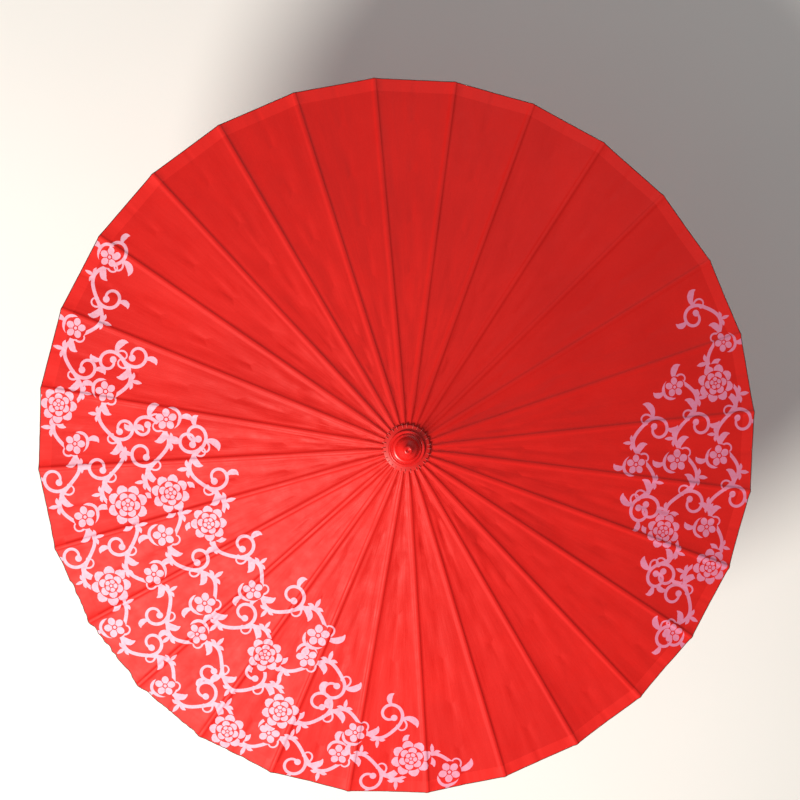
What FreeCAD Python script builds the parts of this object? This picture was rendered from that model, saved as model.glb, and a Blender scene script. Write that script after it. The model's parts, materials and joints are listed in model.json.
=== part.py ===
import FreeCAD, Part
import math
import os

# Oil paper umbrella, stored open. Millimetres. +Z runs up the shaft from the bottom of the grip.
# Each split-bamboo rib turns on the hub's wire, and each stretcher joins its rib to the runner.

# Frame
RIBS = 28
Z_HUB = 548.0            # height of the wire that the ribs turn on
R_PIVOT = 15.0           # radius of the wire rings in the hub and the runner
STRETCHER = 170.0        # hole to hole, and also hub wire to rib joint, so that the frame folds flat
JOINT_DROP = 5.0         # how far the rib's ear sets the joint below the rib's middle
OPEN_SLOPE = 14.5        # ribs below level when open, in degrees
RIM_RADIUS = 420.0       # middle of the umbrella to the paper's corner at a rib
RIB_TIP = 417.5          # rib length from the hub wire to its tip

# Rib and stretcher sections
RIB_TOP, RIB_UNDER = 2.0, -2.0
TIP_UNDER = -0.5
EAR_WIDTH, HUB_TONGUE = 2.6, 1.9
RIB_WIDTH_HUB, RIB_WIDTH_TIP = 2.6, 4.2
SLIT, TONGUE = 1.2, 1.0
STRETCHER_WIDTH, STRETCHER_END, STRETCHER_HALF_DEPTH = 2.4, 1.7, 1.5
PIN_R, EAR_HOLE_R, TONGUE_HOLE_R = 0.55, 0.60, 0.70
WIRE_R, RIB_HOLE_R = 0.60, 0.75

# Hub, runner, shaft and grip
SLOT = 2.2
HEAD_R, HEAD_LOW, HEAD_HIGH, SLOT_R = 20.0, -8.0, 3.0, 12.0
RUNNER_R, RUNNER_HALF, SLEEVE_R, SLEEVE_LENGTH = 18.5, 6.0, 11.4, 62.0
SHAFT_R, RUNNER_BORE, SEAT_GAP = 6.5, 7.0, 0.05
GRIP_R, GRIP_HEIGHT, SHAFT_FOOT = 11.5, 105.0, 14.0
PAPER = 0.4
PAPER_GAP = 0.3

PITCH = 360.0 / RIBS
SET_BACK = math.degrees(math.asin(JOINT_DROP / STRETCHER))
JOINT_ALONG = math.sqrt(STRETCHER ** 2 - JOINT_DROP ** 2)
FOLD = math.radians(90.0 - OPEN_SLOPE - SET_BACK)
Z_RUNNER = Z_HUB - 2 * STRETCHER * math.cos(FOLD)
RUNNER_FOOT = Z_RUNNER - RUNNER_HALF - SLEEVE_LENGTH


def vec(x, y, z):
    return FreeCAD.Vector(x, y, z)


class Line:
    """A straight member in the XZ plane: along it, and up from it."""

    def __init__(self, x, z, along, up):
        self.x, self.z, self.along, self.up = x, z, along, up

    def at(self, s, t, y=0.0):
        return vec(self.x + s * self.along[0] + t * self.up[0], y,
                   self.z + s * self.along[1] + t * self.up[1])

    def bar(self, near, far):
        """A tapered bar from near to far, each given as (along, width, low, high)."""
        rings = []
        for s, width, low, high in (near, far):
            w = width / 2.0
            rings.append([self.at(s, low, -w), self.at(s, low, w), self.at(s, high, w), self.at(s, high, -w)])
        a, b = rings
        quads = [a, b] + [[a[i], a[(i + 1) % 4], b[(i + 1) % 4], b[i]] for i in range(4)]
        return closed(quads)

    def pin(self, s, t, radius, length):
        middle = self.at(s, t)
        return Part.makeCylinder(radius, length, vec(middle.x, -length / 2.0, middle.z), vec(0, 1, 0))


def closed(quads):
    """A solid from its flat faces."""
    faces = [Part.Face(Part.makePolygon(q + [q[0]])) for q in quads]
    solid = Part.makeSolid(Part.makeShell(faces))
    if solid.Volume < 0:
        solid.reverse()
    return solid


def turned(profile):
    """A solid of revolution about Z from (radius, height) points."""
    points = [vec(r, 0, z) for r, z in profile]
    return Part.Face(Part.makePolygon(points + [points[0]])).revolve(vec(0, 0, 0), vec(0, 0, 1), 360)


def joined(first, *others):
    return first.multiFuse(list(others)).removeSplitter()


def rib_line():
    a = math.radians(90.0 - OPEN_SLOPE)
    return Line(R_PIVOT, Z_HUB, (math.sin(a), -math.cos(a)), (math.cos(a), math.sin(a)))


def stretcher_line():
    joint = rib_line().at(JOINT_ALONG, -JOINT_DROP)
    return Line(joint.x, joint.z, (-math.sin(FOLD), -math.cos(FOLD)), (-math.cos(FOLD), math.sin(FOLD)))


def rib():
    """Bamboo rib with a drilled tongue at the hub, a slit ear for the stretcher, and its lashing pin."""
    line = rib_line()
    under = RIB_UNDER + (TIP_UNDER - RIB_UNDER) * JOINT_ALONG / RIB_TIP
    tongue = line.bar((0.0, HUB_TONGUE, RIB_UNDER, RIB_TOP), (12.0, HUB_TONGUE, RIB_UNDER, RIB_TOP))
    nose = line.pin(0.0, 0.0, RIB_TOP, HUB_TONGUE)
    body = line.bar((11.0, RIB_WIDTH_HUB, RIB_UNDER, RIB_TOP), (RIB_TIP, RIB_WIDTH_TIP, TIP_UNDER, RIB_TOP))
    ear = line.bar((JOINT_ALONG - 2.2, EAR_WIDTH, -JOINT_DROP, under + 0.4),
                   (JOINT_ALONG + 2.2, EAR_WIDTH, -JOINT_DROP, under + 0.4))
    lobe = line.pin(JOINT_ALONG, -JOINT_DROP, 2.2, EAR_WIDTH)
    slit = line.bar((JOINT_ALONG - 4.0, SLIT, -JOINT_DROP - 4.0, -2.4),
                    (JOINT_ALONG + 4.0, SLIT, -JOINT_DROP - 4.0, -2.4))
    solid = joined(body, tongue, nose, ear, lobe)
    solid = solid.cut([line.pin(0, 0, RIB_HOLE_R, 6.0), slit, line.pin(JOINT_ALONG, -JOINT_DROP, EAR_HOLE_R, 8.0)])
    return [solid, line.pin(JOINT_ALONG, -JOINT_DROP, PIN_R, EAR_WIDTH)]


def stretcher():
    """Short bamboo strut with a thin tongue at the rib, and a narrow end with its wire piece at the runner."""
    line, half = stretcher_line(), STRETCHER_HALF_DEPTH
    tongue = line.bar((0.0, TONGUE, -1.4, 1.4), (16.0, TONGUE, -1.4, 1.4))
    nose = line.pin(0.0, 0.0, 1.8, TONGUE)
    body = line.bar((14.0, STRETCHER_WIDTH, -half, half), (122.0, STRETCHER_WIDTH, -half, half))
    end = line.bar((121.0, STRETCHER_END, -half, half), (STRETCHER, STRETCHER_END, -half, half))
    heel = line.pin(STRETCHER, 0.0, half, STRETCHER_END)
    solid = joined(body, tongue, nose, end, heel)
    solid = solid.cut([line.pin(0, 0, TONGUE_HOLE_R, 6.0), line.pin(STRETCHER, 0, EAR_HOLE_R, 6.0)])
    return [solid, line.pin(STRETCHER, 0.0, PIN_R, STRETCHER_END)]


def slots(inner, outer, low, high):
    """The ring of radial slots that the ribs or the stretchers stand in."""
    one = Part.makeBox(outer - inner, SLOT, high - low, vec(inner, -SLOT / 2.0, low))
    return [about_axis(one, k) for k in range(RIBS)]


def about_axis(shape, k):
    copy = shape.copy()
    copy.rotate(vec(0, 0, 0), vec(0, 0, 1), k * PITCH)
    return copy


def upper_hub():
    """Notched wooden head, with the wire that threads every rib."""
    low, high = Z_HUB + HEAD_LOW, Z_HUB + HEAD_HIGH
    head = turned([(SHAFT_R + SEAT_GAP, low), (HEAD_R - 1.5, low), (HEAD_R, low + 1.5), (HEAD_R, high),
                   (SHAFT_R + SEAT_GAP, high)])
    head = head.cut(slots(SLOT_R, HEAD_R + 2.0, low - 1.0, high + 1.0))
    wire = Part.makeTorus(R_PIVOT, WIRE_R, vec(0, 0, Z_HUB), vec(0, 0, 1))
    return head.fuse(wire)


def finial_cap():
    """Turned cap with a flange, a step, a dome and a dimpled knob, and a blind socket for the shaft."""
    z, r = Z_HUB + HEAD_HIGH + 0.8, SHAFT_R + SEAT_GAP
    return turned([(r, z), (19.0, z), (20.0, z + 1.0), (20.0, z + 2.2), (18.6, z + 3.2), (16.2, z + 3.4),
                   (15.4, z + 5.2), (13.2, z + 6.0), (12.4, z + 8.6), (10.2, z + 12.4), (6.6, z + 15.6),
                   (4.2, z + 18.0), (4.0, z + 19.4), (5.2, z + 21.2), (5.3, z + 22.8), (4.2, z + 24.6),
                   (2.2, z + 25.4), (1.2, z + 24.8), (0, z + 24.6), (0, z + 10.1), (r, z + 10.1)])


def collar():
    """Stiff lacquered ring, stitched over the paper's middle and clamped below the finial."""
    z = Z_HUB + HEAD_HIGH
    return turned([(SHAFT_R + SEAT_GAP, z), (20.2, z), (25.6, z - 2.1), (25.6, z - 1.4), (20.5, z + 0.75),
                   (SHAFT_R + SEAT_GAP, z + 0.75)])


def shaft_rod():
    """Bamboo shaft, slotted for the spring tongue that holds the runner up."""
    top = Z_HUB + HEAD_HIGH + 0.8 + 10.0
    rod = Part.makeCylinder(SHAFT_R, top - SHAFT_FOOT, vec(0, 0, SHAFT_FOOT))
    slot = Part.makeBox(12.0, 3.8, 44.0, vec(-1.8, -1.9, RUNNER_FOOT - 42.0))
    return rod.cut(slot)


def grip():
    """Turned wooden grip with two beads and a blind hole for the shaft's foot."""
    r, top = SHAFT_R + SEAT_GAP, GRIP_HEIGHT
    return turned([(0, 0), (GRIP_R, 0), (GRIP_R, 92.0), (12.6, 94.0), (12.6, 96.0), (10.6, 97.5),
                   (10.6, 99.0), (11.8, 100.5), (11.8, 103.0), (9.5, top), (r, top), (r, SHAFT_FOOT - 0.1),
                   (0, SHAFT_FOOT - 0.1)])


def latch():
    """Spring tongue. Its flat nib stands under the runner, and it presses back into the shaft."""
    top, foot = RUNNER_FOOT - 0.1, RUNNER_FOOT - 40.0
    points = [(2.0, foot), (5.0, foot), (9.6, top - 5.0), (9.6, top), (2.0, top)]
    outline = [vec(x, -1.5, z) for x, z in points]
    return Part.Face(Part.makePolygon(outline + [outline[0]])).extrude(vec(0, 3.0, 0))


def runner():
    """Notched wooden runner on its sleeve. The slots run right through, so the stretchers can leave them."""
    low, high = Z_RUNNER - RUNNER_HALF, Z_RUNNER + RUNNER_HALF
    body = turned([(RUNNER_BORE, RUNNER_FOOT), (10.4, RUNNER_FOOT), (SLEEVE_R, RUNNER_FOOT + 1.0),
                   (SLEEVE_R, low), (RUNNER_R - 1.2, low), (RUNNER_R, low + 1.2), (RUNNER_R, high - 1.2),
                   (RUNNER_R - 1.2, high), (RUNNER_BORE, high)])
    return body.cut(slots(SLOT_R, RUNNER_R + 2.0, low - 1.0, high + 1.0))


def canopy():
    """Oiled paper: flat gores between the ribs, one closed skin with a hole for the head."""
    slope = math.tan(math.radians(OPEN_SLOPE))
    base = Z_HUB + (RIB_TOP + PAPER_GAP) / math.cos(math.radians(OPEN_SLOPE))

    def ring(radius, lift):
        z = base + lift - (radius - R_PIVOT) * slope
        angles = [math.radians(k * PITCH) for k in range(RIBS)]
        return [vec(radius * math.cos(a), radius * math.sin(a), z) for a in angles]

    inner, outer = 20.8, RIM_RADIUS
    loops = [ring(inner, 0.0), ring(outer, 0.0), ring(outer, PAPER), ring(inner, PAPER)]
    quads = []
    for one, two in zip(loops, loops[1:] + loops[:1]):
        for k in range(RIBS):
            n = (k + 1) % RIBS
            quads.append([one[k], one[n], two[n], two[k]])
    return closed(quads)


def save(name, solids):
    shape = Part.makeCompound(solids) if len(solids) > 1 else solids[0]
    for solid in shape.Solids:
        if not solid.isValid() or solid.Volume <= 0:
            raise ValueError(name + " isn't a valid solid")
    shape.exportStep("parts/" + name + ".step")


def main():
    os.makedirs("parts", exist_ok=True)
    one_rib, one_stretcher = rib(), stretcher()
    for k in range(RIBS):
        number = "{:02d}".format(k + 1)
        save("rib_" + number, [about_axis(s, k) for s in one_rib])
        save("stretcher_" + number, [about_axis(s, k) for s in one_stretcher])
    save("runner", [runner()])
    save("runner_latch", [latch()])
    save("canopy", [canopy()])
    save("shaft_hub_finial_grip", [shaft_rod(), upper_hub(), finial_cap(), collar(), grip()])


main()
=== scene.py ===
"""Looks of the oil paper umbrella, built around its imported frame. Metres, +Z up the shaft."""

import json
import math
import random

import bmesh
import bpy
import numpy as np
from mathutils import Matrix, Vector, noise
from mathutils.geometry import delaunay_2d_cdt

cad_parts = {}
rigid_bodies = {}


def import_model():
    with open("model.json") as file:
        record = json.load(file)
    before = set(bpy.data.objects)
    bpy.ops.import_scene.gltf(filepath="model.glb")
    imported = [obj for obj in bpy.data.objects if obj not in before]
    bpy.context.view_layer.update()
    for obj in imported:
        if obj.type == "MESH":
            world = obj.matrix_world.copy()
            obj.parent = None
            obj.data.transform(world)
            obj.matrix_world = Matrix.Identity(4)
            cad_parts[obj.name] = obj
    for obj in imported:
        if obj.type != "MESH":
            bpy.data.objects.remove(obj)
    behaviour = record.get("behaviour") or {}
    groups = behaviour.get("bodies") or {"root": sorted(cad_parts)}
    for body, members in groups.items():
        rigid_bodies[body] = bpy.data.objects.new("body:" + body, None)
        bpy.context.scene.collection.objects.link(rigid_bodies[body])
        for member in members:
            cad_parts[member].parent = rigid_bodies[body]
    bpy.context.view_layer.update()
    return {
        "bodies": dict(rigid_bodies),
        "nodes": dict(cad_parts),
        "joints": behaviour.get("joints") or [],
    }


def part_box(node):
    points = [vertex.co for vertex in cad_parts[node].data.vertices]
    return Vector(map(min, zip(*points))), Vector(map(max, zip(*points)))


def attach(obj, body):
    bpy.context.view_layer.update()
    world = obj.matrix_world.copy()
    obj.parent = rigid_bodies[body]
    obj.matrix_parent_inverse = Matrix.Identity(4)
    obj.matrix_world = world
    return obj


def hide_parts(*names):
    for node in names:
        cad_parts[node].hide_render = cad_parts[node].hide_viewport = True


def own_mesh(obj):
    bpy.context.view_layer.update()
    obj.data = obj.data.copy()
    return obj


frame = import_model()

# ---------------------------------------------------------------- sizes, from the frame
RIBS = sum(1 for b in frame["bodies"] if b.startswith("rib_"))
GAP = 2 * math.pi / RIBS
PAPER_LOW, PAPER_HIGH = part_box("canopy")
RIM = PAPER_HIGH.x
INNER = 0.0208                 # edge of the hole in the middle of the paper
SKIN = 0.0004
SLOPE = (PAPER_HIGH.z - SKIN - PAPER_LOW.z) / (RIM - INNER)
APEX = PAPER_LOW.z + RIM * SLOPE
PIVOTS = {j["name"]: Vector(j["pos_m"]) for j in frame["joints"] if "pos_m" in j}
HUB_PIVOT = PIVOTS["rib_01_hinge"]
STRETCHER_PIVOT = PIVOTS["stretcher_01_hinge"]
HUB_Z = HUB_PIVOT.z
HEAD_TOP = HUB_Z + 0.003
RUNNER_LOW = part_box("runner")[0]
GRIP_TOP = 0.105
SHAFT_FOOT = 0.014             # bottom of the shaft, inside the grip


# ---------------------------------------------------------------- materials
class Nodes:
    """Short calls for one material's node tree."""

    def __init__(self, name, **sockets):
        self.mat = bpy.data.materials.new(name)
        self.mat.use_nodes = True
        self.tree = self.mat.node_tree
        self.shader = self.tree.nodes["Principled BSDF"]
        for key, value in sockets.items():
            self.shader.inputs[key.replace("_", " ")].default_value = value
        self.place = self.tree.nodes.new("ShaderNodeTexCoord").outputs["Object"]

    def add(self, kind, inputs=None, **settings):
        node = self.tree.nodes.new("ShaderNode" + kind)
        for key, value in settings.items():
            setattr(node, key, value)
        for key, value in (inputs or {}).items():
            if isinstance(value, bpy.types.NodeSocket):
                self.tree.links.new(value, node.inputs[key])
            else:
                node.inputs[key].default_value = value
        return node

    def noise(self, scale, where=None, detail=3.0, rough=0.55):
        return self.add("TexNoise", {"Vector": where or self.place, "Scale": scale, "Detail": detail,
                                     "Roughness": rough}).outputs["Fac"]

    def math(self, what, a, b=0.0, c=0.0):
        return self.add("Math", {0: a, 1: b, 2: c}, operation=what).outputs[0]

    def span(self, value, low, high, to_low=0.0, to_high=1.0):
        return self.add("MapRange", {"Value": value, "From Min": low, "From Max": high, "To Min": to_low,
                                     "To Max": to_high}).outputs["Result"]

    def mix(self, fac, a, b):
        node = self.add("Mix", {"Factor": fac}, data_type="RGBA")
        for socket, value in ((node.inputs[6], a), (node.inputs[7], b)):
            if isinstance(value, bpy.types.NodeSocket):
                self.tree.links.new(value, socket)
            else:
                socket.default_value = (*value, 1.0)
        return node.outputs[2]

    def stretched(self, scale):
        """Object coordinates stretched by a different amount along each axis."""
        return self.add("VectorMath", {0: self.place, 1: scale}, operation="MULTIPLY").outputs[0]

    def reach(self):
        """Distance from the shaft's axis."""
        flat = self.stretched((1, 1, 0))
        return self.add("VectorMath", {0: flat}, operation="LENGTH").outputs["Value"]

    def polar(self, along, around):
        """Coordinates for grain along each radius: along and around are its scales."""
        unit = self.add("VectorMath", {0: self.stretched((1, 1, 0))}, operation="NORMALIZE").outputs[0]
        ring = self.add("VectorMath", {0: unit, "Scale": around}, operation="SCALE").outputs[0]
        up = self.add("CombineXYZ", {"Z": self.math("MULTIPLY", self.reach(), along)}).outputs[0]
        return self.add("VectorMath", {0: ring, 1: up}, operation="ADD").outputs[0]

    def finish(self, colour=None, rough=None, bumps=()):
        if colour is not None:
            self.tree.links.new(colour, self.shader.inputs["Base Color"])
        if rough is not None:
            self.tree.links.new(rough, self.shader.inputs["Roughness"])
        last = None
        for height, depth, strength in bumps:
            node = self.add("Bump", {"Height": height, "Distance": depth, "Strength": strength})
            if last:
                self.tree.links.new(last, node.inputs["Normal"])
            last = node.outputs["Normal"]
        if last:
            self.tree.links.new(last, self.shader.inputs["Normal"])
        return self.mat


def paper_bumps(n):
    """Fine fibres, radial drying wrinkles and a faint cross crinkle, shared by the paper and its print."""
    streaks = n.polar(26.0, 62.0)
    cross = n.polar(95.0, 30.0)
    wrinkle = n.noise(1.0, streaks, 4.0, 0.6)
    crinkle = n.noise(1.0, cross, 3.0, 0.55)
    fibre = n.noise(900.0, None, 4.0, 0.65)
    return [(wrinkle, 0.0008, 0.32), (crinkle, 0.0006, 0.20), (fibre, 0.00016, 0.5)]


def paper_red(name, light, deep):
    """Oiled paper: two close reds in soft clouds, flecks of pulp and a satin oil sheen."""
    n = Nodes(name, IOR=1.47, Specular_IOR_Level=0.32)
    bumps = paper_bumps(n)
    cloud = n.noise(9.0, None, 4.0, 0.6)
    pulp = n.noise(420.0, None, 3.0, 0.7)
    red = n.mix(n.span(cloud, 0.35, 0.68), deep, light)
    red = n.mix(n.span(pulp, 0.40, 0.75, 0.0, 0.22), red, tuple(c * 0.72 for c in light))
    rough = n.span(n.noise(55.0, None, 4.0, 0.6), 0.3, 0.7, 0.54, 0.66)
    return n.finish(red, rough, bumps)


def print_ink(name, left, right, fade):
    """Printed ink, paler on the key light's side of the canopy than on the other (a painted sheen), thin
    enough to show some red.
    """
    n = Nodes(name, IOR=1.47, Specular_IOR_Level=0.42)
    bumps = paper_bumps(n)
    split = n.add("SeparateXYZ", {0: n.place}).outputs["X"]
    # painted sheen: the ink turns paler towards -X, the side the key light shines from
    ink = n.mix(n.span(split, -0.16, 0.18), left, right)
    worn = n.span(n.noise(240.0, None, 4.0, 0.7), 0.42, 0.80, 0.0, fade)
    ink = n.mix(worn, ink, (0.70, 0.05, 0.05))
    rough = n.span(n.noise(130.0), 0.3, 0.7, 0.54, 0.66)
    return n.finish(ink, rough, bumps)


def bamboo(name, light, dark):
    """Upright bamboo: long fibres up the member, darker pores and an oiled skin."""
    n = Nodes(name, IOR=1.5)
    grain = n.noise(1.0, n.stretched((900.0, 900.0, 14.0)), 4.0, 0.6)
    pores = n.noise(1.0, n.stretched((2600.0, 2600.0, 60.0)), 2.0, 0.5)
    colour = n.mix(n.span(grain, 0.32, 0.70), dark, light)
    colour = n.mix(n.span(pores, 0.58, 0.80, 0.0, 0.55), colour, tuple(c * 0.35 for c in dark))
    tone = n.mix(n.span(n.noise(14.0), 0.3, 0.7, 0.0, 0.35), colour, tuple(c * 0.75 for c in light))
    return n.finish(tone, n.span(grain, 0.3, 0.7, 0.34, 0.54), [(pores, 0.0002, 0.5), (grain, 0.0003, 0.4)])


def split_bamboo(name, light, dark, steep):
    """Radial members that drop by steep for each metre out: grain along each, and a tone of its own."""
    n = Nodes(name, IOR=1.5)
    split = n.add("SeparateXYZ", {0: n.place}).outputs
    angle = n.math("ADD", n.math("DIVIDE", n.math("ARCTAN2", split["Y"], split["X"]), GAP), 0.5)
    which = n.math("FLOOR", angle)
    length = n.reach()
    off = n.math("MULTIPLY", n.math("SUBTRACT", n.math("FRACT", angle), 0.5), GAP)
    side = n.math("MULTIPLY", off, length)
    depth = n.math("ADD", split["Z"], n.math("MULTIPLY", length, steep))
    x = n.math("ADD", n.math("MULTIPLY", length, 16.0), n.math("MULTIPLY", which, 7.3))
    y, z = n.math("MULTIPLY", side, 1500.0), n.math("MULTIPLY", depth, 1100.0)
    fibre = n.noise(1.0, n.add("CombineXYZ", {"X": x, "Y": y, "Z": z}).outputs[0], 4.0, 0.6)
    x, y = n.math("MULTIPLY", which, 3.7), n.math("MULTIPLY", length, 9.0)
    tone = n.noise(1.0, n.add("CombineXYZ", {"X": x, "Y": y}).outputs[0], 2.0)
    colour = n.mix(n.span(fibre, 0.3, 0.7), dark, light)
    colour = n.mix(n.span(tone, 0.3, 0.7, 0.0, 0.5), colour, tuple(c * 0.72 for c in light))
    pores = n.span(n.noise(1700.0, None, 2.0), 0.62, 0.76, 0.0, 0.5)
    colour = n.mix(pores, colour, tuple(c * 0.4 for c in dark))
    return n.finish(colour, n.span(fibre, 0.3, 0.7, 0.38, 0.56), [(fibre, 0.0002, 0.6)])


def lacquer(name, light, deep, coat=0.3, rough=0.34):
    """Turned and lacquered wood: faint lathe rings, and a painted highlight that brightens the edges."""
    n = Nodes(name, IOR=1.5, Specular_IOR_Level=0.35, Coat_Weight=coat, Coat_Roughness=0.2)
    rings = n.noise(1.0, n.stretched((0.0, 0.0, 1500.0)), 2.0)
    cloud = n.noise(70.0, None, 4.0, 0.6)
    colour = n.mix(n.span(cloud, 0.35, 0.7), deep, light)
    # painted highlight: convex edges, found by pointiness, are mixed towards a brighter copy of the light
    # colour
    edge = n.add("NewGeometry").outputs["Pointiness"]
    painted_edge_highlight = tuple(min(1.0, c * 1.35 + 0.02) for c in light)
    colour = n.mix(n.span(edge, 0.51, 0.60, 0.0, 0.6), colour, painted_edge_highlight)
    return n.finish(colour, n.span(cloud, 0.3, 0.7, rough - 0.06, rough + 0.1),
                    [(rings, 0.00012, 0.5), (n.noise(380.0), 0.0001, 0.3)])


def cotton(name, light, deep):
    """Twisted thread: fine diagonal plies."""
    n = Nodes(name, IOR=1.45, Roughness=0.75, Sheen_Weight=0.25)
    ply = n.add("TexWave", {"Vector": n.place, "Scale": 520.0, "Distortion": 1.5, "Detail": 2.0},
                bands_direction="DIAGONAL").outputs["Fac"]
    colour = n.mix(ply, deep, light)
    return n.finish(colour, None, [(ply, 0.0002, 0.7), (n.noise(2200.0), 0.0001, 0.5)])


def steel(name, light, deep):
    """Drawn wire, dull in patches."""
    n = Nodes(name, Metallic=1.0, Roughness=0.38)
    return n.finish(n.mix(n.span(n.noise(300.0), 0.35, 0.7), deep, light))


def floor_material():
    n = Nodes("pale_floor", Roughness=0.85, Specular_IOR_Level=0.2)
    cloud = n.noise(1.3, None, 3.0)
    colour = n.mix(n.span(cloud, 0.3, 0.7), (0.80, 0.80, 0.79), (0.84, 0.84, 0.83))
    return n.finish(colour, None, [(n.noise(60.0), 0.0006, 0.2)])


# ---------------------------------------------------------------- mesh helpers
def mesh_object(name, points, faces, mats, smooth=True):
    mesh = bpy.data.meshes.new(name)
    mesh.from_pydata([tuple(p) for p in points], [], faces)
    mesh.validate()
    ob = bpy.data.objects.new(name, mesh)
    bpy.context.scene.collection.objects.link(ob)
    for m in mats:
        mesh.materials.append(m)
    mesh.polygons.foreach_set("use_smooth", [smooth] * len(mesh.polygons))
    return ob


def spun(name, profile, mat, around):
    """A turned piece from (radius, height) points."""
    points, faces, count = [], [], len(profile)
    for k in range(around):
        a = 2 * math.pi * k / around
        points += [(r * math.cos(a), r * math.sin(a), z) for r, z in profile]
    for k in range(around):
        here, there = k * count, (k + 1) % around * count
        for i in range(count - 1):
            faces.append((here + i, there + i, there + i + 1, here + i + 1))
    ob = mesh_object(name, points, faces, [mat])
    tidy(ob)
    return ob


def tidy(ob):
    """Joins points that coincide, drops points without a face, and turns all faces outwards."""
    bm = bmesh.new()
    bm.from_mesh(ob.data)
    bmesh.ops.remove_doubles(bm, verts=bm.verts, dist=1e-6)
    bmesh.ops.delete(bm, geom=[v for v in bm.verts if not v.link_faces], context="VERTS")
    bmesh.ops.recalc_face_normals(bm, faces=bm.faces)
    bm.to_mesh(ob.data)
    bm.free()


ROUNDS = 3                     # steps in each softened corner


def rounded(profile, cut):
    """The profile with each corner cut and softened."""
    pts = [Vector((r, z)) for r, z in profile]
    out = [pts[0]]
    for before, at, after in zip(pts, pts[1:], pts[2:]):
        a, b = before - at, after - at
        s = min(cut, a.length * 0.45, b.length * 0.45)
        p, q = at + a.normalized() * s, at + b.normalized() * s
        for i in range(ROUNDS + 1):
            f = i / ROUNDS
            out.append(p * (1 - f) ** 2 + at * 2 * f * (1 - f) + q * f * f)
    out.append(pts[-1])
    return [(p.x, p.y) for p in out]


def ring_faces(base, rings, around, ends_meet):
    """Side faces of a tube whose points start at base, and its two end faces if it is open."""
    sides, ends = [], []
    for i in range(rings if ends_meet else rings - 1):
        here, there = base + i * around, base + (i + 1) % rings * around
        for k in range(around):
            n = (k + 1) % around
            sides.append((here + k, here + n, there + n, there + k))
    if not ends_meet:
        last = base + (rings - 1) * around
        ends = [tuple(base + k for k in reversed(range(around))), tuple(last + k for k in range(around))]
    return sides, ends


def loops_object(name, loops, mat):
    """Tube-like mesh from rings of points; each item in loops is (rings, does the path close)."""
    points, faces = [], []
    for rings, ends_meet in loops:
        sides, ends = ring_faces(len(points), len(rings), len(rings[0]), ends_meet)
        for ring in rings:
            points += ring
        faces += sides + ends
    ob = mesh_object(name, points, faces, [mat])
    tidy(ob)
    return ob


def tube(path, radius, around, ends_meet=False):
    """Rings of points around a path, and whether the path closes: one item for loops_object."""
    path = [Vector(p) for p in path]
    count, rings = len(path), []
    up = Vector((0, 0, 1))
    for i, p in enumerate(path):
        a = path[(i - 1) % count] if ends_meet or i else path[0]
        b = path[(i + 1) % count] if ends_meet or i < count - 1 else path[-1]
        d = (b - a).normalized()
        side = d.cross(up)
        side = side.normalized() if side.length > 1e-4 else Vector((1, 0, 0))
        top = side.cross(d).normalized()
        rings.append([p + (side * math.cos(t) + top * math.sin(t)) * radius
                      for t in (2 * math.pi * k / around for k in range(around))])
    return rings, ends_meet


# ---------------------------------------------------------------- the paper's surface
RIDGE_HALF = 0.0029            # half the width of the ridge over a rib
RIDGE_RISE = 0.0015
RIDGE_DROP = 0.0008            # how far the paper beside the ridge lies below the CAD cone
SAG = 0.0013                   # at the rim, half way between two ribs
CREASE, CREASE_HALF = 0.0005, 0.003    # depth and half width of the fold in the middle of each gap
WRINKLES = ((0.0011, 9, 9, 1.7), (0.00055, 26, 17, 5.1))    # height, scale round, scale along, seed


def wave(x, y, z, seed):
    return noise.noise(Vector((x, y, z + seed)))


def paper_height(r, a):
    """Height of the paper's top: a ridge on each rib, sag and wrinkles between, a fold in each gap."""
    near = round(a / GAP)
    off = a - near * GAP
    from_middle = GAP / 2 - abs(off)
    z = APEX + SKIN - SLOPE * r * math.cos(from_middle) / math.cos(GAP / 2)
    half = r * math.sin(GAP / 2)
    across = r * math.sin(abs(off))
    wide = min(RIDGE_HALF, 0.48 * half)
    z += -RIDGE_DROP + RIDGE_RISE * math.exp(-(across / wide) ** 4)
    share = min(1.0, from_middle / (GAP / 2))
    z -= SAG * (r / RIM) ** 1.6 * (1 - share * share) * (1 - math.exp(-(across / 0.006) ** 2))
    loose = (1 - math.exp(-(across / (wide * 2.2)) ** 2)) * min(1.0, r / 0.06)
    c, s = math.cos(a), math.sin(a)
    for height, around, along, seed in WRINKLES:
        z += loose * height * wave(c * around, s * around, r * along, seed)
    z += loose * 0.00035 * wave(c * 55, s * 55, r * 30, 9.3) * (1.2 - r / RIM)
    fold = r * math.sin(from_middle)
    return z - CREASE * math.exp(-(fold / CREASE_HALF) ** 2) * min(1.0, r / 0.1)


def paper_point(r, a, drop=0.0):
    return Vector((r * math.cos(a), r * math.sin(a), paper_height(r, a) - drop))


def paper_normal(r, a):
    e = 0.0004
    du = paper_point(r + e, a) - paper_point(r - e, a)
    dv = paper_point(r, a + e / r) - paper_point(r, a - e / r)
    return du.cross(dv).normalized()


WORN_SIDE = math.radians(215)
WEAR = 0.0045                  # depth of the deepest wear
RIM_BOW = 0.00012              # the edge bows out by this much between two ribs
RIB_TIP = 0.0026               # the edge is whole this far to either side of a rib, past the rib's corners


def straight_rim(a):
    """The rim's radius where the edge runs, all but straight, from rib tip to rib tip."""
    from_middle = GAP / 2 - abs(a - round(a / GAP) * GAP)
    bow = RIM_BOW * (1 - (2 * from_middle / GAP) ** 2)
    return RIM * math.cos(GAP / 2) / math.cos(from_middle) + bow


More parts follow.
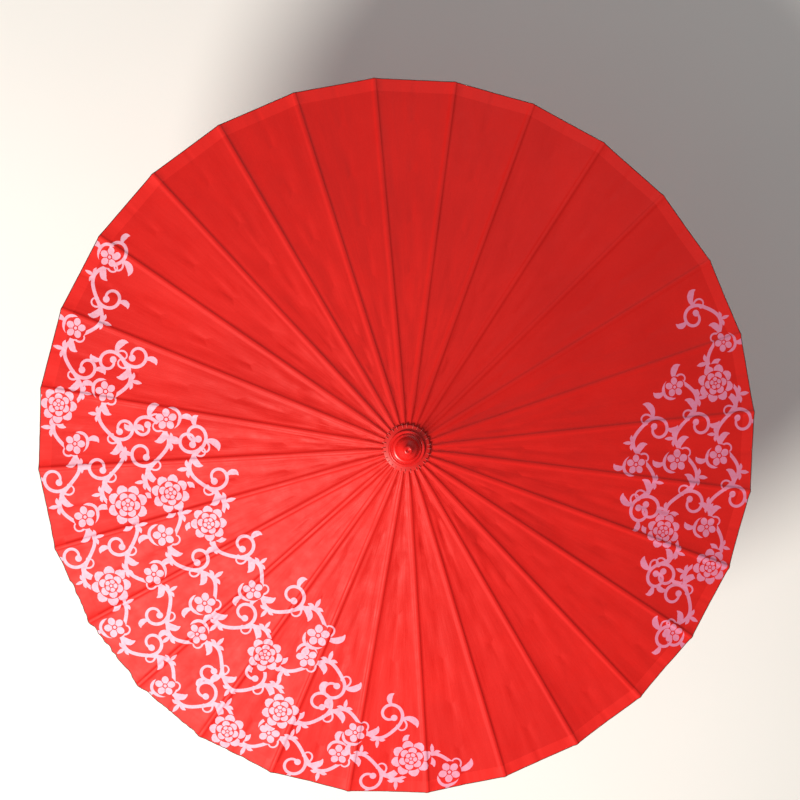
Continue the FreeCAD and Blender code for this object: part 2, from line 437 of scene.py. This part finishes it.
def rim_radius(a):
    """Straight edge between rib tips, worn and slightly ragged on one side, but whole over each rib."""
    from_rib = max(0.0, RIM * math.sin(abs(a - round(a / GAP) * GAP)) - RIB_TIP)
    worn = math.exp((math.cos(a - WORN_SIDE) - 1) * 11) * (1 - math.exp(-(from_rib / 0.005) ** 2))
    c, s = math.cos(a), math.sin(a)
    ragged = abs(wave(c * 24, s * 24, 0.0, 3.0)) + 0.5 * abs(wave(c * 60, s * 60, 0.0, 8.0))
    return straight_rim(a) - worn * WEAR * ragged


# ---------------------------------------------------------------- the printed pattern
# A scrolling vine made by rule, in hundredths of the canopy's radius. Rows of waving stem follow the rim
# on two sides of the canopy. Every half wave holds one curl, and some curls end in a flower.
UNIT = RIM / 100
DICE = random.Random(28)
FIRST_ROW = 92.0
ROW_STEP = 12.5
WAVE = 21.0                    # length of one wave of stem
SWING = 3.6                    # how far a stem swings either side of its row
SIDES = (                      # first angle, last angle, rows
    (145.0, 275.0, 4),
    (-45.0, 22.0, 4),
)
SHORTEST = 16.0                # degrees; a shorter row is left out
FLOWERS = (                    # how the scrolls end, for every other row
    ("ball", "rosette", "blossom", "ball", "blossom"),
    ("ball", "blossom", "ball", "ball", "rosette", "ball", "blossom"),
)
ROW_TRIM = 9.0                 # degrees by which each row is shorter than the one outside it


def bent(x, y, heading, length, turn, widths, tightening=0.0):
    """A stroke that leaves at a heading and turns as it goes, as (x, y, half width) samples."""
    count = max(4, round(length / 0.45))
    out = []
    for i in range(count + 1):
        share = i / count
        width = float(np.interp(share, np.linspace(0, 1, len(widths)), widths))
        out.append((x, y, width / 2))
        heading += turn / count * (1 - tightening + 2 * tightening * share)
        x += math.cos(heading) * length / count
        y += math.sin(heading) * length / count
    return out


def disc(x, y, long_, wide, turn=0.0, count=7):
    """A round or oval spot: long_ is half its length along its turn, wide half its width across it."""
    c, s = math.cos(turn), math.sin(turn)
    steps = [math.pi * i / (count - 1) for i in range(count)]
    return [(x - c * long_ * math.cos(t), y - s * long_ * math.cos(t), max(wide * math.sin(t), 0.01))
            for t in steps]


def petals(x, y, size, count, turn, wide):
    """A ring of separate petals."""
    out = []
    for i in range(count):
        a = turn + math.tau * i / count
        petal = disc(x + math.cos(a) * size * 0.6, y + math.sin(a) * size * 0.6, size * 0.4, wide, a)
        out.append((petal, True))
    return out


def slits(x, y, size, count, turn):
    """Lines of bare paper that run out between the petals of a ring."""
    out = []
    for i in range(count):
        a = turn + math.tau * (i + 0.5) / count
        slit = [(x + math.cos(a) * size * t, y + math.sin(a) * size * t, 0.1) for t in (0.2, 0.6, 1.0)]
        out.append((slit, False))
    return out


def blossom(x, y, size, turn):
    """A small five-petalled flower."""
    centre = [(disc(x, y, size * 0.27, size * 0.27), False), (disc(x, y, size * 0.16, size * 0.16), True)]
    bare = [(disc(x, y, size + 0.25, size + 0.25, 0.0, 13), False)]
    return bare + petals(x, y, size, 5, turn, size * 0.34) + slits(x, y, size, 5, turn) + centre


def rosette(x, y, size, turn):
    """A full flower: rings of rounded petals, each ring parted from the next by a line of bare paper."""
    out = []
    for ring, count, wide in ((1.0, 8, 0.30), (0.62, 6, 0.22), (0.32, 5, 0.13)):
        reach = size * ring
        turned = turn + math.pi * ring
        out.append((disc(x, y, reach + 0.2, reach + 0.2, 0.0, 13), False))
        out += petals(x, y, reach, count, turned, size * wide) + slits(x, y, reach, count, turned)
    return out + [(disc(x, y, size * 0.12, size * 0.12), False), (disc(x, y, size * 0.07, size * 0.07), True)]


def leaf(x, y, heading, length, turn, wide):
    """A curling leaf that swells towards its far end."""
    return bent(x, y, heading, length, turn, [0.5, wide * 0.7, wide, wide * 0.9, 0.3], 0.4)


def sprig(x, y, heading, size):
    """Three small leaves that fan out from one place."""
    return [(leaf(x, y, heading + off, size * (1.0 if off == 0 else 0.75), off, size * 0.36), True)
            for off in (-0.9, 0.0, 0.9)]


def scroll(x, y, heading, side, size, flower):
    """A curl that rolls up to one side, with leaves and a tendril, ending in a ball or a flower."""
    spiral = bent(x, y, heading, size * 3.4, side * 6.2, [0.95, 0.9, 0.7], 0.55)
    out = [(spiral, True)]
    early, middle, end = spiral[len(spiral) // 6], spiral[len(spiral) // 2], spiral[-1]
    out.append((leaf(*early[:2], heading - side * 0.5, size * 1.15, -side * 1.9, 1.9), True))
    out.append((leaf(*middle[:2], heading + side * 1.6, size * 0.8, -side * 2.1, 1.6), True))
    tendril = bent(*early[:2], heading - side * 1.3, size * 1.3, -side * 4.4, [0.6, 0.5, 0.4], 0.6)
    out += [(tendril, True), (disc(*tendril[-1][:2], 0.6, 0.6), True)]
    turn = DICE.uniform(0, math.tau)
    if flower == "rosette":
        return out + rosette(end[0], end[1], size * 1.12, turn)
    if flower == "blossom":
        return out + blossom(end[0], end[1], size * 0.62, turn)
    return out + [(disc(end[0], end[1], 0.95, 0.95), True)]


def stem_point(row, phase):
    """A place on a waving stem: phase counts waves along the row from angle 0."""
    r = row + SWING * math.sin(math.tau * phase)
    a = phase * WAVE / row
    return r * math.cos(a), r * math.sin(a)


def stem_row(row, first, last, flowers):
    """One row: the waving stem, a scroll rolling into each half wave, and a sprig on each crest."""
    low, high = (math.radians(a) * row / WAVE for a in (first, last))
    first_half, last_half = math.ceil(low * 2), math.floor(high * 2)
    low, high = first_half / 2, last_half / 2
    steps = max(2, round((high - low) * WAVE / 0.6))
    line = [(*stem_point(row, low + (high - low) * i / steps), 0.5) for i in range(steps + 1)]
    out = [(line, True)]
    for half in range(first_half, last_half + 1):
        x, y = stem_point(row, half / 2)
        ahead_x, ahead_y = stem_point(row, half / 2 + 0.01)
        heading = math.atan2(ahead_y - y, ahead_x - x)
        side = -1 if half % 2 == 0 else 1
        out += scroll(x, y, heading, side, DICE.uniform(4.4, 5.2), flowers[half % len(flowers)])
        if half < last_half:
            x, y = stem_point(row, half / 2 + 0.25)
            out += sprig(x, y, math.atan2(y, x) + (0 if side < 0 else math.pi), DICE.uniform(2.6, 3.4))
    x, y = stem_point(row, low)
    ahead_x, ahead_y = stem_point(row, low + 0.01)
    back = math.atan2(y - ahead_y, x - ahead_x)
    return out + scroll(x, y, back, 1, 4.4, "ball")


def strokes():
    """Every stroke of the print, in painting order, as (samples, is ink)."""
    out = []
    for first, last, rows in SIDES:
        for i in range(rows):
            trim = ROW_TRIM * i + DICE.uniform(-3, 3)
            if last - first - 2 * trim > SHORTEST:
                out += stem_row(FIRST_ROW - ROW_STEP * i, first + trim, last - trim, FLOWERS[i % 2])
    return out


BLUNT = 0.12                   # a stroke's end is round only where half its width is at least this


def outline(samples):
    """The closed outline of a stroke."""
    xy = np.array([s[:2] for s in samples])
    half = np.array([s[2] for s in samples])
    run = np.gradient(xy, axis=0)
    run /= np.maximum(np.linalg.norm(run, axis=1, keepdims=True), 1e-9)
    side = np.stack([-run[:, 1], run[:, 0]], axis=1)
    left, right = xy + side * half[:, None], xy - side * half[:, None]

    def cap(i, sign):
        if half[i] < BLUNT:
            return []
        base = math.atan2(side[i, 1], side[i, 0]) + (0 if sign > 0 else math.pi)
        turns = [base - math.pi * k / 4 for k in (1, 2, 3)]
        return [xy[i] + half[i] * np.array([math.cos(t), math.sin(t)]) for t in turns]

    return np.array(list(left) + cap(len(xy) - 1, 1) + list(right[::-1]) + cap(0, -1))


def covered(points, path):
    """Which of the points lie inside a closed outline, counted by how often it winds round them."""
    start, end = path, np.roll(path, -1, axis=0)
    run = end - start
    from_start = points[:, None] - start
    left = run[:, 0] * from_start[..., 1] - run[:, 1] * from_start[..., 0] > 0
    above = from_start[..., 1] >= 0
    below_end = points[:, None, 1] < end[:, 1]
    rising = above & below_end & left
    falling = ~above & ~below_end & ~left
    return rising.sum(1) != falling.sum(1)


# ---------------------------------------------------------------- canopy
HEM = 0.0145                   # width of the folded hem
SEAM = GAP / 2                 # angle from a rib to the seams on either side of it
RIDGE_LINES = (0.0, 0.0012, 0.0024, 0.0038)
LOOSE_LINES = (0.0055, 0.009, 0.014, 0.02, 0.0265, 0.033, 0.0395, 0.0445)
STATIONS = [INNER + (RIM * math.cos(SEAM) - 0.015 - INNER) * i / 46 for i in range(47)]
RIDGE_STATIONS = STATIONS[1:] + [RIM - back for back in (0.012, 0.008, 0.004, 0.0015)]
RIM_ANGLES = sorted({SEAM * (i / 16 - 1) for i in range(33)}
                    | {math.asin(s * x / RIM) for x in RIDGE_LINES for s in (1, -1)})
PAPER, INK, HEM_PAPER, UNDERSIDE, THREAD = range(5)
THREAD_RADIUS, THREAD_SIDES = 0.0005, 6


class Plan:
    """Points and edges of one strip, gathered in plan before it is cut into triangles."""

    def __init__(self, k):
        self.turn = k * GAP
        self.lead = np.array([math.cos(self.turn), math.sin(self.turn)])
        self.cross = np.array([-self.lead[1], self.lead[0]])
        self.points = []
        self.edges = []

    def place(self, along, across):
        self.points.append((self.lead * along + self.cross * across) / UNIT)
        return len(self.points) - 1

    def run(self, ids):
        self.edges.extend(zip(ids, ids[1:]))

    def polar(self, radius_at, angles):
        return [self.place(radius_at(o) * math.cos(o), radius_at(o) * math.sin(o)) for o in angles]

    def paper(self):
        """The strip's border, its hem line, and lines beside the rib that carry the ridge."""
        rim = self.polar(lambda o: rim_radius(self.turn + o), RIM_ANGLES)
        inner = self.polar(lambda o: INNER, [SEAM * (i / 4 - 1) for i in range(9)])
        hem = self.polar(lambda o: straight_rim(self.turn + o) - HEM, RIM_ANGLES)
        for line in (rim, inner, hem):
            self.run(line)
        for end, sign in ((0, -1), (-1, 1)):
            seam = [self.place(r * math.cos(SEAM), sign * r * math.sin(SEAM)) for r in STATIONS[1:]]
            self.run([inner[end]] + seam + [rim[end]])
        for off in sorted({s * x for x in RIDGE_LINES for s in (1, -1)}):
            self.run([self.place(r, off) for r in RIDGE_STATIONS if abs(off) < r * math.tan(SEAM) - 0.0006])
        for off in LOOSE_LINES:
            for r in STATIONS[1:]:
                if off < r * math.tan(SEAM) - 0.0012:
                    self.place(r, off)
                    self.place(r, -off)

    def stroke(self, path):
        """Adds the part of a stroke's outline that touches the strip, and says if there is any."""
        along, across = path @ self.lead, path @ self.cross
        near = (along > 3) & (np.abs(across) < along * math.tan(SEAM) + 0.6)
        wanted = near | np.roll(near, -1)
        ids = {}
        for i in np.nonzero(wanted)[0]:
            ends = (int(i), (int(i) + 1) % len(path))
            for q in ends:
                if q not in ids:
                    self.points.append(path[q])
                    ids[q] = len(self.points) - 1
            self.edges.append((ids[ends[0]], ids[ends[1]]))
        return bool(near.any())

    def cut(self):
        """Triangles inside the strip, with the points they use."""
        flat = [Vector((float(p[0]), float(p[1]))) for p in self.points]
        verts, _, faces, *_ = delaunay_2d_cdt(flat, self.edges, [], 0, 1e-4, False)
        points = np.array([v[:] for v in verts])
        tri = np.array([f for f in faces if len(f) == 3])
        a, b, c = (points[tri[:, i]] for i in range(3))
        area = (b - a)[:, 0] * (c - a)[:, 1] - (b - a)[:, 1] * (c - a)[:, 0]
        tri[area < 0] = tri[area < 0][:, ::-1]
        middle = points[tri].mean(1)
        along, across = middle @ self.lead * UNIT, middle @ self.cross * UNIT
        off, reach = np.arctan2(across, along), np.hypot(along, across)
        edge = np.interp(off, RIM_ANGLES, [rim_radius(self.turn + o) for o in RIM_ANGLES])
        inside = (np.abs(off) < SEAM - 2e-6) & (reach < edge) & (reach > INNER * math.cos(SEAM / 8))
        inside &= np.abs(area) > 1e-7
        return points, tri[inside], off[inside], reach[inside]


def finishes(points, tri, off, reach, kept):
    """Which finish each triangle has: paper, hem or ink, with later strokes over earlier ones."""
    slot = np.full(len(tri), PAPER)
    slot[reach > np.interp(off, RIM_ANGLES, [straight_rim(o) for o in RIM_ANGLES]) - HEM] = HEM_PAPER
    bare = slot.copy()
    middle = points[tri].mean(1)
    for path, ink in kept:
        near = np.nonzero(((middle > path.min(0)) & (middle < path.max(0))).all(1))[0]
        if len(near):
            hit = near[covered(middle[near], path)]
            slot[hit] = INK if ink else bare[hit]
    return slot


def canopy_strip(k, marks, mats):
    """One strip: printed top, plain underside, closed edges and the thread along the rim."""
    plan = Plan(k)
    plan.paper()
    kept = [(path, ink) for path, ink in marks if plan.stroke(path)]
    points, tri, off, reach = plan.cut()
    slots = finishes(points, tri, off, reach, kept).tolist()
    used, tri = np.unique(tri, return_inverse=True)
    tri = tri.reshape(-1, 3)
    xy = points[used] * UNIT
    places = list(zip(np.hypot(xy[:, 0], xy[:, 1]), np.arctan2(xy[:, 1], xy[:, 0])))
    top = [paper_point(r, a) for r, a in places]
    normals = [paper_normal(r, a) for r, a in places]
    count = len(top)
    verts = top + [p - Vector((0, 0, SKIN)) for p in top]
    normals += [-v for v in normals]
    faces = tri.tolist() + (tri[:, ::-1] + count).tolist()
    slots += [UNDERSIDE] * len(tri)
    directed = {(t[i], t[(i + 1) % 3]) for t in tri.tolist() for i in range(3)}
    border = sorted(e for e in directed if (e[1], e[0]) not in directed)
    faces += [(j, i, i + count, j + count) for i, j in border]
    slots += [THREAD] * len(border)

    angles = [plan.turn + o for o in RIM_ANGLES]
    path = [paper_point(rim_radius(a), a, SKIN / 2) for a in angles]
    rings, _ = tube(path, THREAD_RADIUS, THREAD_SIDES)
    base = len(verts)
    for ring, middle in zip(rings, path):
        verts += ring
        normals += [(q - middle).normalized() for q in ring]
    skin, ends = ring_faces(base, len(rings), THREAD_SIDES, False)
    faces += skin + ends
    slots += [THREAD] * len(skin + ends)

    name = "canopy_%02d" % (k + 1)
    ob = mesh_object(name, verts, faces, mats)
    ob.data.polygons.foreach_set("material_index", slots)
    ob.data.normals_split_custom_set_from_vertices([tuple(v) for v in normals])
    rib = "rib_%02d" % (k + 1)
    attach(ob, rib)
    middle = RIM / 2
    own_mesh(ob)
    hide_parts("canopy")


def build_canopy():
    mats = [
        paper_red("red_oiled_paper", (0.60, 0.0075, 0.0045), (0.54, 0.0058, 0.0036)),
        # the print's first colour carries a painted sheen for the key light's side, the second is for the far
        # side
        print_ink("pink_print", (0.66, 0.36, 0.47), (0.60, 0.20, 0.33), 0.35),
        paper_red("red_hem_paper", (0.68, 0.0120, 0.0085), (0.62, 0.0100, 0.0070)),
        paper_red("red_paper_underside", (0.50, 0.0160, 0.0110), (0.42, 0.0120, 0.0090)),
        cotton("edge_thread", (0.62, 0.50, 0.46), (0.40, 0.16, 0.13)),
    ]
    marks = [(outline(samples), ink) for samples, ink in strokes()]
    for k in range(RIBS):
        canopy_strip(k, marks, mats)


build_canopy()

# ---------------------------------------------------------------- finial, collar, hub, shaft and grip
ROOT = "shaft_hub_finial_grip"
BORE = 0.0066                  # radius of the hole for the shaft
CAP_FOOT = HEAD_TOP + 0.0008   # underside of the finial, which stands on the collar
CAP = [                        # radius, height above the foot: flange, step, dome and dimpled knob
    (0.0, 0.0), (0.0186, 0.0), (0.0200, 0.0012), (0.0200, 0.0026), (0.0192, 0.0033),
    (0.0176, 0.0032), (0.0170, 0.0030), (0.0163, 0.0036), (0.0158, 0.0052), (0.0146, 0.0060),
    (0.0132, 0.0064), (0.0124, 0.0088), (0.0104, 0.0124), (0.0070, 0.0156), (0.0044, 0.0182),
    (0.0039, 0.0194), (0.0045, 0.0204), (0.0053, 0.0218), (0.0053, 0.0232), (0.0042, 0.0247),
    (0.0028, 0.0252), (0.0019, 0.0246), (0.0009, 0.0237), (0.0, 0.0235),
]
COLLAR = [                     # radius, height above the head
    (BORE, 0.0), (0.0204, 0.0002), (0.0257, -0.0014), (0.0261, -0.0010), (0.0256, -0.0004),
    (0.0206, 0.0010), (BORE, 0.0008), (BORE, 0.0),
]
STITCH = [(0.0232, 0.0006), (0.0240, 0.0011), (0.0252, 0.0009), (0.0264, -0.0002), (0.0272, -0.0016)]
STITCH_FOOT = HEAD_TOP - 0.0004
STITCH_RADIUS = 0.00038
UNEVEN = 0.18                  # share of a gap by which a stitch may stand off its place

red_lacquer = lacquer("red_lacquer", (0.66, 0.008, 0.006), (0.50, 0.005, 0.005), coat=0.1)
collar_lacquer = lacquer("collar_lacquer", (0.58, 0.008, 0.006), (0.46, 0.006, 0.005), coat=0.05, rough=0.5)
grip_lacquer = lacquer("dark_grip_lacquer", (0.17, 0.038, 0.018), (0.10, 0.022, 0.012), coat=0.5, rough=0.35)
shaft_bamboo = bamboo("shaft_bamboo", (0.50, 0.30, 0.13), (0.36, 0.19, 0.07))
hub_wood = lacquer("hub_wood", (0.52, 0.33, 0.17), (0.40, 0.23, 0.11), coat=0.1, rough=0.5)
steel_wire = steel("wire_steel", (0.55, 0.54, 0.52), (0.32, 0.30, 0.28))
red_thread = cotton("red_thread", (0.70, 0.05, 0.04), (0.45, 0.012, 0.01))
pale_thread = cotton("pale_stitches", (0.70, 0.07, 0.055), (0.50, 0.02, 0.016))


def of_root(ob):
    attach(ob, "shaft")
    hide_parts(ROOT)


def circle(radius, z, count):
    angles = [2 * math.pi * i / count for i in range(count)]
    return [(radius * math.cos(t), radius * math.sin(t), z) for t in angles]


def hoops(name, circles, radius, mat):
    """Closed hoops of cord or wire."""
    return loops_object(name, [tube(path, radius, 8, True) for path in circles], mat)


def collar_stitches():
    """One stitch over the collar's edge near the middle of each gap."""
    stitches = []
    for k in range(RIBS):
        a = (k + 0.5 + DICE.uniform(-UNEVEN, UNEVEN)) * GAP
        c, s = math.cos(a), math.sin(a)
        stitches.append(tube([(r * c, r * s, STITCH_FOOT + z) for r, z in STITCH], STITCH_RADIUS, 6))
    return loops_object("collar_stitches", stitches, pale_thread)


cap = [(r, CAP_FOOT + z) for r, z in CAP]
of_root(spun("finial_cap", rounded(cap, 0.0006), red_lacquer, 128))
collar = [(r, HEAD_TOP + z) for r, z in COLLAR]
of_root(spun("hub_collar", rounded(collar, 0.0003), collar_lacquer, 128))
of_root(collar_stitches())

HUB_RADIUS = 0.020
HUB_FOOT = HUB_Z - 0.008
SLOT_ROOT = 0.012              # radius at which a rib's slot ends
SLOT_HALF = 0.0011
CHAMFER = 0.0016               # clears the ribs' shoulders when they fold
EASE_DOWN, EASE_IN = 0.0005, 0.0004


def upper_hub():
    """A turned head with a radial slot for each rib: fins on a ring, chamfered below."""
    loop, bore_at = [], []
    at_root, at_rim = math.asin(SLOT_HALF / SLOT_ROOT), math.asin(SLOT_HALF / HUB_RADIUS)
    for k in range(RIBS):
        first, last = k * GAP, (k + 1) * GAP
        fin = [(SLOT_ROOT, first + at_root)]
        fin += [(HUB_RADIUS, first + at_rim + (GAP - 2 * at_rim) * i / 3) for i in range(4)]
        fin.append((SLOT_ROOT, last - at_root))
        loop += fin
        bore_at += [first + at_root + (GAP - 2 * at_root) * i / 5 for i in range(6)]
    points = []
    wall = ((CHAMFER, HUB_FOOT), (0.0, HUB_FOOT + CHAMFER), (0.0, HEAD_TOP - EASE_DOWN), (EASE_IN, HEAD_TOP))
    for inset, z in wall:
        for r, a in loop:
            reach = r - inset if r == HUB_RADIUS else r
            rib_at = round(a / GAP) * GAP
            if r == HUB_RADIUS and abs(abs(a - rib_at) - at_rim) < 1e-6:
                a = rib_at + math.copysign(math.asin(SLOT_HALF / reach), a - rib_at)
            points.append((reach * math.cos(a), reach * math.sin(a), z))
    for r, z in ((SLOT_ROOT, HEAD_TOP), (BORE, HEAD_TOP), (BORE, HUB_FOOT), (SLOT_ROOT, HUB_FOOT)):
        points += [(r * math.cos(a), r * math.sin(a), z) for a in bore_at]
    count = len(loop)
    levels = len(points) // count
    faces = []
    for level in range(levels):
        here, there = level * count, (level + 1) % levels * count
        for i in range(count):
            j = (i + 1) % count
            faces.append((here + i, here + j, there + j, there + i))
    ob = mesh_object("upper_hub", points, faces, [hub_wood], False)
    tidy(ob)
    return ob


of_root(upper_hub())
of_root(hoops("hub_wire", [circle(0.015, HUB_Z, 112)], 0.0006, steel_wire))

SHAFT_RADIUS = 0.0065
SHAFT_TOP = CAP_FOOT + 0.0092
BAMBOO_JOINTS = (0.185, 0.262, 0.335, 0.418, 0.492)
NEAR_JOINT = (-0.004, -0.0016, -0.0006, 0.0, 0.0006, 0.0016, 0.004)
LATCH_LOW, LATCH_HIGH = RUNNER_LOW.z - 0.042, RUNNER_LOW.z + 0.002
LATCH_FLOOR = -0.0018          # X of the floor of the latch's slot
LATCH_COLUMNS = 3              # the slot takes this many columns of faces on each side of +X
ROUND_SHAFT = 64


def shaft_radius(z):
    """Swollen a little at each of the bamboo's joints, and eased at both ends."""
    swell = sum(0.00022 * math.exp(-((z - h) / 0.0011) ** 2)
                - 0.00012 * math.exp(-((z - h - 0.0024) / 0.0012) ** 2) for h in BAMBOO_JOINTS)
    ease = 0.0006 if z in (SHAFT_FOOT, SHAFT_TOP) else 0.0
    return SHAFT_RADIUS - 0.00005 + min(swell, 0.0) + max(swell, 0.0) * 0.2 - ease


def shaft_rod():
    """The shaft: a bamboo rod with raised joints, open along its +X side for the spring tongue."""
    heights = sorted({SHAFT_FOOT, SHAFT_FOOT + 0.0012, LATCH_LOW, LATCH_HIGH, SHAFT_TOP - 0.0005, SHAFT_TOP}
                     | {h + d for h in BAMBOO_JOINTS for d in NEAR_JOINT}
                     | {SHAFT_FOOT + (SHAFT_TOP - SHAFT_FOOT) * i / 60 for i in range(61)})
    around, faces = ROUND_SHAFT, []
    points = [p for z in heights for p in circle(shaft_radius(z), z, around)]
    cut = [i for i, z in enumerate(heights) if LATCH_LOW - 1e-6 <= z <= LATCH_HIGH + 1e-6]
    columns = [i % around for i in range(-LATCH_COLUMNS, LATCH_COLUMNS + 1)]
    for level in range(len(heights) - 1):
        here, there = level * around, (level + 1) * around
        is_cut = level in cut and level + 1 in cut
        for i in range(around):
            if not (is_cut and i in columns[:-1]):
                j = (i + 1) % around
                faces.append((here + i, here + j, there + j, there + i))
    faces.append(tuple(reversed(range(around))))
    faces.append(tuple((len(heights) - 1) * around + i for i in range(around)))

    left, right = columns[0], columns[-1]
    deep = {}
    for level in cut:
        for column in (left, right):
            _, y, z = points[level * around + column]
            deep[level, column] = len(points)
            points.append((LATCH_FLOOR, y, z))
    for low, high in zip(cut, cut[1:]):
        here, there = low * around, high * around
        faces.append((here + left, deep[low, left], deep[high, left], there + left))
        faces.append((deep[low, right], here + right, there + right, deep[high, right]))
        faces.append((deep[low, left], deep[low, right], deep[high, right], deep[high, left]))
    low_end, high_end = ([level * around + i for i in columns] + [deep[level, right], deep[level, left]]
                         for level in (cut[0], cut[-1]))
    faces += [tuple(low_end), tuple(reversed(high_end))]
    ob = mesh_object("shaft_rod", points, faces, [shaft_bamboo])
    tidy(ob)
    return ob


GRIP = [                       # radius, height: a long waist, then two turned rings
    (0.0, 0.0), (0.0109, 0.0), (0.0115, 0.0009), (0.01135, 0.020), (0.0112, 0.045),
    (0.01135, 0.070), (0.0115, 0.0915), (0.0125, 0.0938), (0.0126, 0.0950), (0.0124, 0.0962),
    (0.0108, 0.0974), (0.0106, 0.0984), (0.0108, 0.0992), (0.0117, 0.1004), (0.0118, 0.1018),
    (0.0116, 0.1030), (0.0100, 0.1046), (0.0095, GRIP_TOP), (BORE, GRIP_TOP),
    (BORE, SHAFT_FOOT - 0.0002), (0.0, SHAFT_FOOT - 0.0002),
]
CORD_RADIUS = 0.00052
GRIP_CORDS = (0.1062, 0.1071, 0.1080)

of_root(shaft_rod())
of_root(spun("grip", rounded(GRIP, 0.0005), grip_lacquer, 96))
of_root(hoops("grip_binding", [circle(0.0070, z, 48) for z in GRIP_CORDS], CORD_RADIUS, red_thread))

# ---------------------------------------------------------------- ribs, stretchers, runner and latch
rib_cane = split_bamboo("rib_bamboo", (0.62, 0.42, 0.20), (0.46, 0.28, 0.11), SLOPE)
stretcher_cane = split_bamboo("stretcher_bamboo", (0.58, 0.38, 0.18), (0.42, 0.25, 0.10), -0.3)
runner_wood = lacquer("runner_wood", (0.50, 0.31, 0.15), (0.38, 0.21, 0.09), coat=0.15, rough=0.45)
latch_cane = bamboo("latch_bamboo", (0.56, 0.38, 0.18), (0.40, 0.24, 0.10))


def paint(node, mat):
    ob = frame["nodes"][node]
    if ob.material_slots:
        for s in ob.material_slots:
            s.material = mat
    else:
        ob.data.materials.append(mat)


JOINT = (STRETCHER_PIVOT - HUB_PIVOT).length   # from a rib's hinge to its stretcher
BESIDE_JOINT = 0.009           # one lashing on each side of that joint
TIP_LASHING = 0.406            # from a rib's hinge to the lashing near the rim
JOINT_WRAP = (0.0034, 0.00032, 0.00172, 0.00210)    # length, radius of the thread, half width, half depth
TIP_WRAP = (0.0036, 0.0003, 0.0023, 0.00150)
WRAP_TURNS = 5
WRAP_STEPS = 20                # points in each turn


def wrap(centre, axis, across, length, radius, width, depth):
    """A flat coil of thread round a rectangular member, as rings for loops_object."""
    path = []
    up = axis.cross(across).normalized()
    steps = WRAP_STEPS * WRAP_TURNS
    for i in range(steps + 1):
        t = 2 * math.pi * i / WRAP_STEPS
        c, s = math.cos(t), math.sin(t)
        square = 1.0 / max(abs(c), abs(s)) ** 0.8
        along = axis * (length * (i / steps - 0.5))
        path.append(centre + along + across * (width * c * square) + up * (depth * s * square))
    return tube(path, radius, 6)


def rib_lashings(k):
    """Thread on rib k: on both sides of the stretcher's joint, and near the rim."""
    turn = k * GAP
    lead = Vector((math.cos(turn), math.sin(turn), 0))
    axis = (lead - Vector((0, 0, SLOPE))).normalized()
    across = Vector((-math.sin(turn), math.cos(turn), 0))
    up = axis.cross(across)
    up = up if up.z > 0 else -up
    start = lead * HUB_PIVOT.x + Vector((0, 0, HUB_Z))
    rings = []
    for s in (JOINT - BESIDE_JOINT, JOINT + BESIDE_JOINT):
        rings.append(wrap(start + axis * s - up * 0.0001, axis, across, *JOINT_WRAP))
    rings.append(wrap(start + axis * TIP_LASHING + up * 0.0006, axis, across, *TIP_WRAP))
    number = "%02d" % (k + 1)
    lashing = loops_object("rib_lashing_" + number, rings, red_thread)
    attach(lashing, "rib_" + number)


for k in range(RIBS):
    paint("rib_%02d" % (k + 1), rib_cane)
    paint("stretcher_%02d" % (k + 1), stretcher_cane)
    rib_lashings(k)
paint("runner", runner_wood)
paint("runner_latch", latch_cane)

SLEEVE_CORDS = [RUNNER_LOW.z + 0.010 + i * 0.00095 for i in range(5)]
binding = hoops("runner_binding", [circle(0.01165, z, 64) for z in SLEEVE_CORDS], CORD_RADIUS, red_thread)
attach(binding, "runner")

# ---------------------------------------------------------------- floor, light and camera
FLOOR_REACH = 30
corners = [(x * FLOOR_REACH, y * FLOOR_REACH, 0) for x, y in ((-1, -1), (1, -1), (1, 1), (-1, 1))]
floor = mesh_object("floor", corners, [(0, 1, 2, 3)], [floor_material()], False)
floor.location.z = -0.002

world = bpy.data.worlds.new("studio")
bpy.context.scene.world = world
world.use_nodes = True
world.node_tree.nodes["Background"].inputs["Color"].default_value = (1.0, 0.99, 0.98, 1)
world.node_tree.nodes["Background"].inputs["Strength"].default_value = 0.22

CENTRE = Vector((0.0, 0.0, 0.5))


def area_light(name, azimuth, elevation, distance, size, power, colour):
    """A soft box that shines on the canopy from an azimuth and elevation in degrees."""
    data = bpy.data.lights.new(name, "AREA")
    data.shape = "DISK"
    data.size = size
    data.energy = power
    data.color = colour
    a, e = math.radians(azimuth), math.radians(elevation)
    ob = bpy.data.objects.new(name, data)
    out = Vector((math.cos(e) * math.cos(a), math.cos(e) * math.sin(a), math.sin(e)))
    ob.location = CENTRE + out * distance
    ob.rotation_euler = (CENTRE - ob.location).to_track_quat("-Z", "Y").to_euler()
    bpy.context.scene.collection.objects.link(ob)


area_light("key", 220.7, 45, 2.6, 0.9, 112, (1.0, 0.94, 0.85))
area_light("fill", 60, 30, 3.2, 2.4, 18, (1.0, 0.98, 0.96))

# The camera's turn and place were fitted to the rib tips, the top of the canopy and the tip of
# the cap in the photograph; the lens was chosen.
TILT_X, TILT_Y, ROLL = (math.radians(a) for a in (3.37, 3.42, 4.28))
CAMERA_PLACE = (-0.0011, 0.0472, 1.8698)       # from the middle of the rim, in the camera's own axes
RIM_MIDDLE = (0.0, 0.0, 0.446)

camera = bpy.data.cameras.new("camera")
camera.sensor_width, camera.lens = 36.0, 72.0
camera.clip_start, camera.clip_end = 0.05, 30.0
eye = bpy.data.objects.new("camera", camera)
bpy.context.scene.collection.objects.link(eye)
turned = Matrix.Rotation(TILT_X, 4, "X") @ Matrix.Rotation(TILT_Y, 4, "Y") @ Matrix.Rotation(ROLL, 4, "Z")
eye.matrix_world = Matrix.Translation(RIM_MIDDLE) @ turned.inverted() @ Matrix.Translation(CAMERA_PLACE)
bpy.context.scene.camera = eye
bpy.context.scene.view_settings.view_transform = "Standard"
